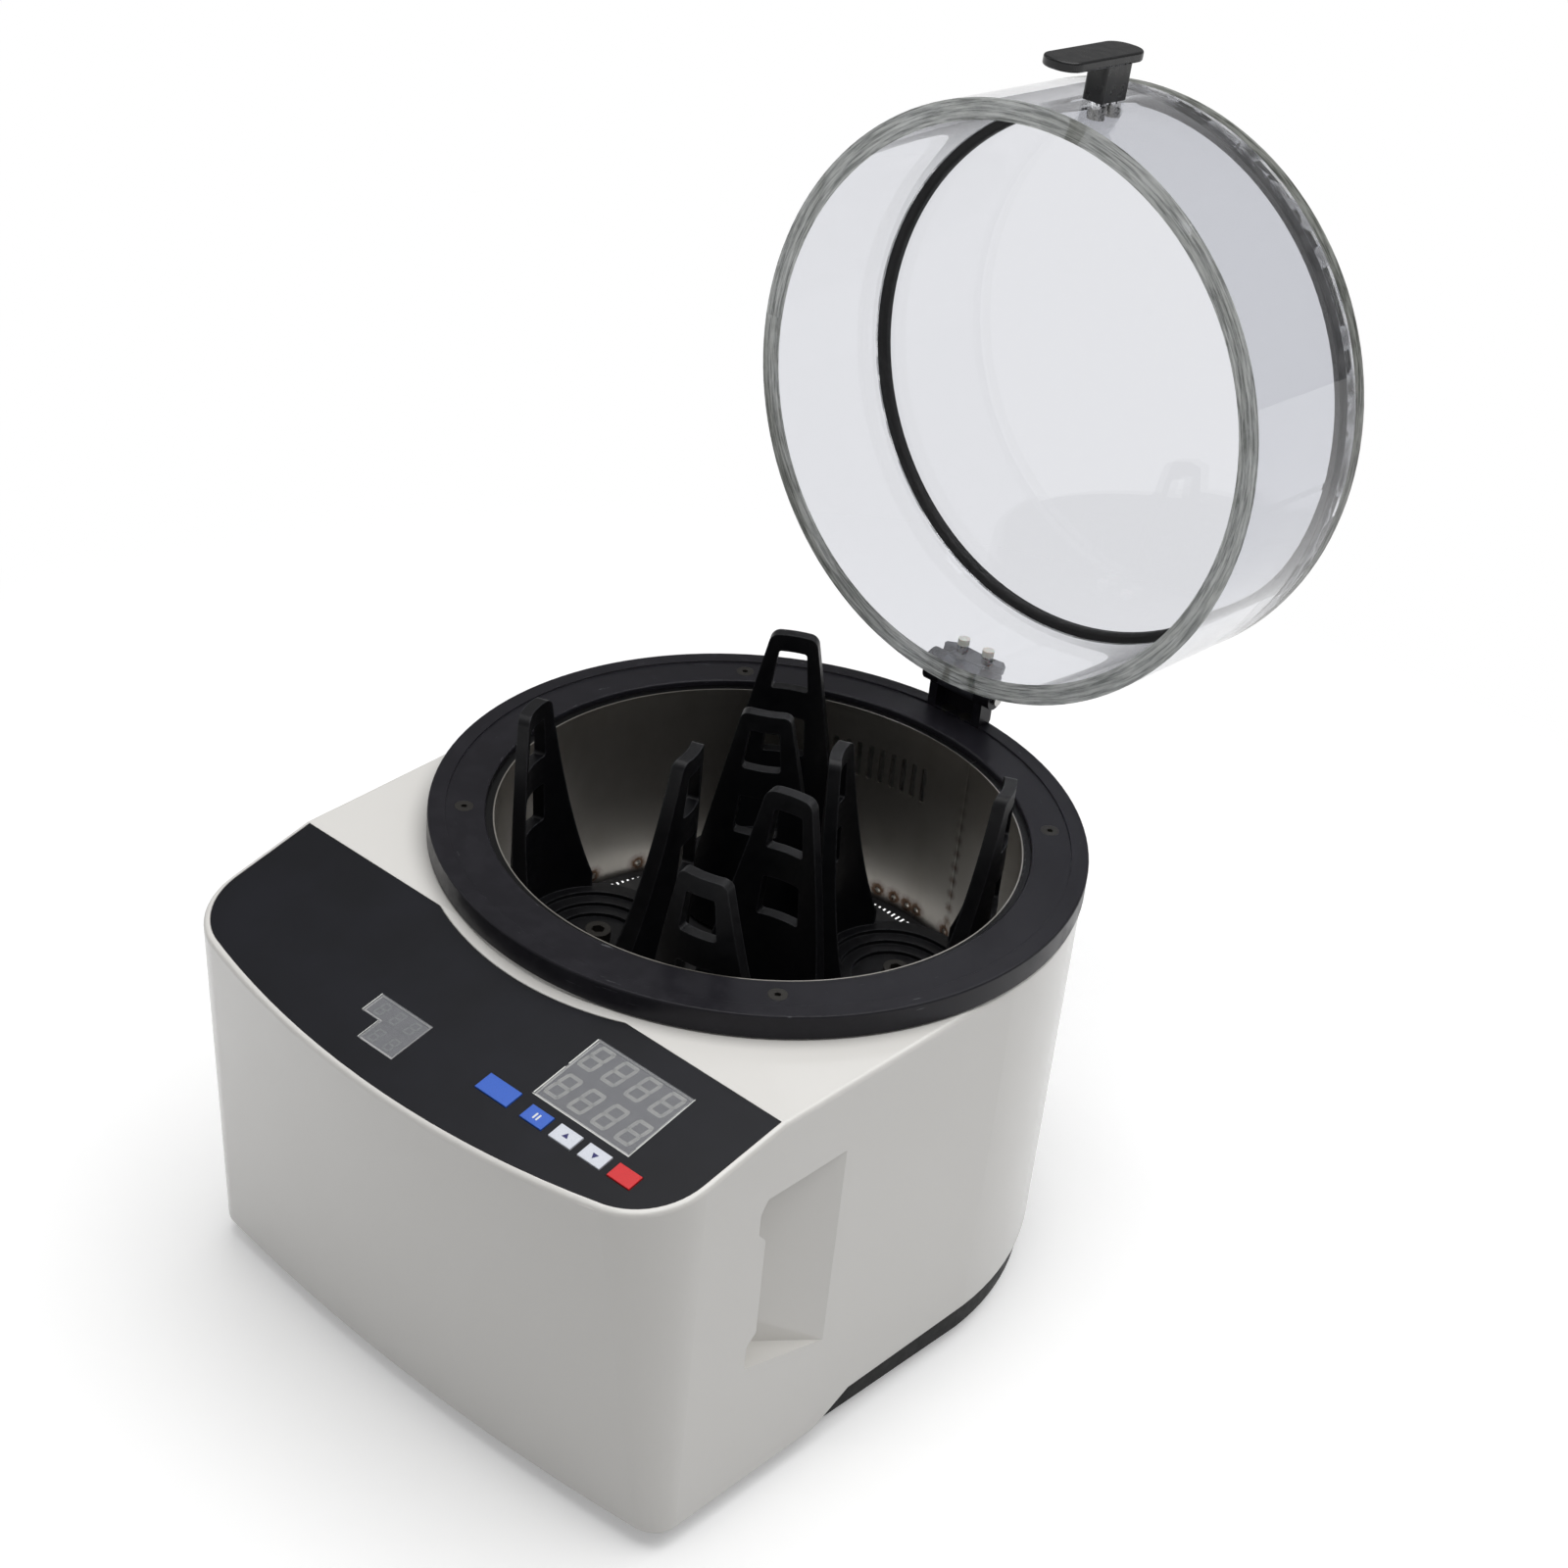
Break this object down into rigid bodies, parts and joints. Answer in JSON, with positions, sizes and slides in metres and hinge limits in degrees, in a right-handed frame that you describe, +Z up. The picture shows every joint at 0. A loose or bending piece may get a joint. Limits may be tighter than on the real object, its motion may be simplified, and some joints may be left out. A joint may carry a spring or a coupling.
{
  "type": "planetary ball mill",
  "caption": "Bench planetary ball mill with a hinged clear lid, a steel bowl with windowed jar holders on a turntable, and a sloping key panel.",
  "frame": {"origin": "on the bowl's axis, at the plane that the feet stand on", "axes": "+Z up, -Y towards the operator and the key panel, the lid's hinge at +Y"},
  "size_m": [0.32, 0.5034, 0.5788],
  "materials": {
    "white_shell": "gloss white moulding",
    "black_overlay": "printed overlay, satin",
    "tinted_pane": "grey tinted pane",
    "led_epoxy": "cast epoxy",
    "circuit_board": "solder mask",
    "black_anodised": "satin black anodised",
    "grey_anodised": "grey anodised",
    "cast_aluminium": "machined",
    "black_steel": "black oxide",
    "bright_steel": "ground",
    "bowl_steel": "rolled stainless, spot welded",
    "black_plate": "black powder coat",
    "black_pan": "black powder coat",
    "foot_rubber": "moulded",
    "seal_rubber": "moulded",
    "belt_rubber": "ribbed rubber",
    "bearing_steel": "ground",
    "gear_steel": "cut and oiled",
    "motor_paint": "enamel",
    "black_moulding": "moulded, fine grain",
    "holder_black": "moulded, fine grain",
    "clear_acrylic": "polished clear acrylic",
    "nylon": "natural nylon",
    "blue_key": "moulded",
    "white_key": "moulded",
    "red_key": "moulded",
    "red_rocker": "moulded"
  },
  "bodies": {
    "housing": {"housing_shell": "white_shell", "panel_label": "black_overlay", "display_window": "tinted_pane", "temperature_window": "tinted_pane", "led_modules": "led_epoxy", "control_board": "circuit_board", "flange_ring": "black_anodised", "flange_screws": "black_steel", "support_ring": "cast_aluminium", "support_pillars": "bright_steel", "bowl_liner": "bowl_steel", "bowl_collar": "bowl_steel", "bowl_foot": "bowl_steel", "bowl_floor": "black_plate", "base_pan": "black_pan", "feet": "foot_rubber", "drive_plate": "cast_aluminium", "bearing_housing": "cast_aluminium", "main_bearings": "bearing_steel", "sun_gear": "gear_steel", "motor_body": "motor_paint", "motor_controller": "cast_aluminium", "drive_belt": "belt_rubber", "hinge_block": "black_anodised", "hinge_block_screws": "black_steel", "hinge_pin": "bright_steel", "power_inlet": "black_moulding", "switch_frame": "black_moulding"},
    "lid": {"lid_tube": "clear_acrylic", "lid_disc": "clear_acrylic", "lid_seal": "seal_rubber", "hinge_leaf": "grey_anodised", "leaf_screws": "nylon", "handle": "black_moulding", "handle_screws": "bright_steel"},
    "turntable": {"turntable_disc": "black_plate", "planet_bearings": "bearing_steel", "main_shaft": "bright_steel", "hub_nut": "black_steel", "main_pulley": "cast_aluminium"},
    "jar_station_1": {"jar_holder_1": "holder_black", "planet_gear_1": "gear_steel", "holder_screw_1": "black_steel"},
    "jar_station_2": {"jar_holder_2": "holder_black", "planet_gear_2": "gear_steel", "holder_screw_2": "black_steel"},
    "jar_station_3": {"jar_holder_3": "holder_black", "planet_gear_3": "gear_steel", "holder_screw_3": "black_steel"},
    "jar_station_4": {"jar_holder_4": "holder_black", "planet_gear_4": "gear_steel", "holder_screw_4": "black_steel"},
    "motor_rotor": {"motor_shaft": "bright_steel", "motor_pulley": "cast_aluminium"},
    "menu_button": {"key_menu": "blue_key"},
    "pause_button": {"key_pause": "blue_key"},
    "up_button": {"key_up": "white_key"},
    "down_button": {"key_down": "white_key"},
    "run_button": {"key_run": "red_key"},
    "switch_rocker": {"power_rocker": "red_rocker"}
  },
  "joints": [
    {"name": "lid_hinge", "type": "hinge", "parent": "housing", "child": "lid", "pos_m": [0, 0.15525, 0.2499], "axis": [1, 0, 0], "range_deg": [0, 94]},
    {"name": "turntable_spin", "type": "hinge", "parent": "housing", "child": "turntable", "pos_m": [0, 0, 0.133], "axis": [0, 0, 1], "continuous": true},
    {"name": "station_1_spin", "type": "hinge", "parent": "turntable", "child": "jar_station_1", "pos_m": [0.06068, 0.04408, 0.133], "axis": [0, 0, 1], "continuous": true},
    {"name": "station_2_spin", "type": "hinge", "parent": "turntable", "child": "jar_station_2", "pos_m": [-0.04408, 0.06068, 0.133], "axis": [0, 0, 1], "continuous": true},
    {"name": "station_3_spin", "type": "hinge", "parent": "turntable", "child": "jar_station_3", "pos_m": [-0.06068, -0.04408, 0.133], "axis": [0, 0, 1], "continuous": true},
    {"name": "station_4_spin", "type": "hinge", "parent": "turntable", "child": "jar_station_4", "pos_m": [0.04408, -0.06068, 0.133], "axis": [0, 0, 1], "continuous": true},
    {"name": "motor_spin", "type": "hinge", "parent": "housing", "child": "motor_rotor", "pos_m": [0, -0.178, 0.031], "axis": [0, 0, 1], "continuous": true},
    {"name": "menu_press", "type": "slide", "parent": "housing", "child": "menu_button", "axis": [0, 0.2079, -0.9781], "range_m": [0, 0.0004], "stiffness_N_per_m": 800, "springref_m": -0.0005},
    {"name": "pause_press", "type": "slide", "parent": "housing", "child": "pause_button", "axis": [0, 0.2079, -0.9781], "range_m": [0, 0.0004], "stiffness_N_per_m": 800, "springref_m": -0.0005},
    {"name": "up_press", "type": "slide", "parent": "housing", "child": "up_button", "axis": [0, 0.2079, -0.9781], "range_m": [0, 0.0004], "stiffness_N_per_m": 800, "springref_m": -0.0005},
    {"name": "down_press", "type": "slide", "parent": "housing", "child": "down_button", "axis": [0, 0.2079, -0.9781], "range_m": [0, 0.0004], "stiffness_N_per_m": 800, "springref_m": -0.0005},
    {"name": "run_press", "type": "slide", "parent": "housing", "child": "run_button", "axis": [0, 0.2079, -0.9781], "range_m": [0, 0.0004], "stiffness_N_per_m": 800, "springref_m": -0.0005},
    {"name": "power_switch", "type": "hinge", "parent": "housing", "child": "switch_rocker", "pos_m": [0.022, 0.15125, 0.078], "axis": [1, 0, 0], "range_deg": [0, 20]}
  ],
  "couplings": [
    {"joint": "station_1_spin", "follows": "turntable_spin", "ratio": 1.5},
    {"joint": "station_2_spin", "follows": "turntable_spin", "ratio": 1.5},
    {"joint": "station_3_spin", "follows": "turntable_spin", "ratio": 1.5},
    {"joint": "station_4_spin", "follows": "turntable_spin", "ratio": 1.5},
    {"joint": "motor_spin", "follows": "turntable_spin", "ratio": 3.3333}
  ]
}
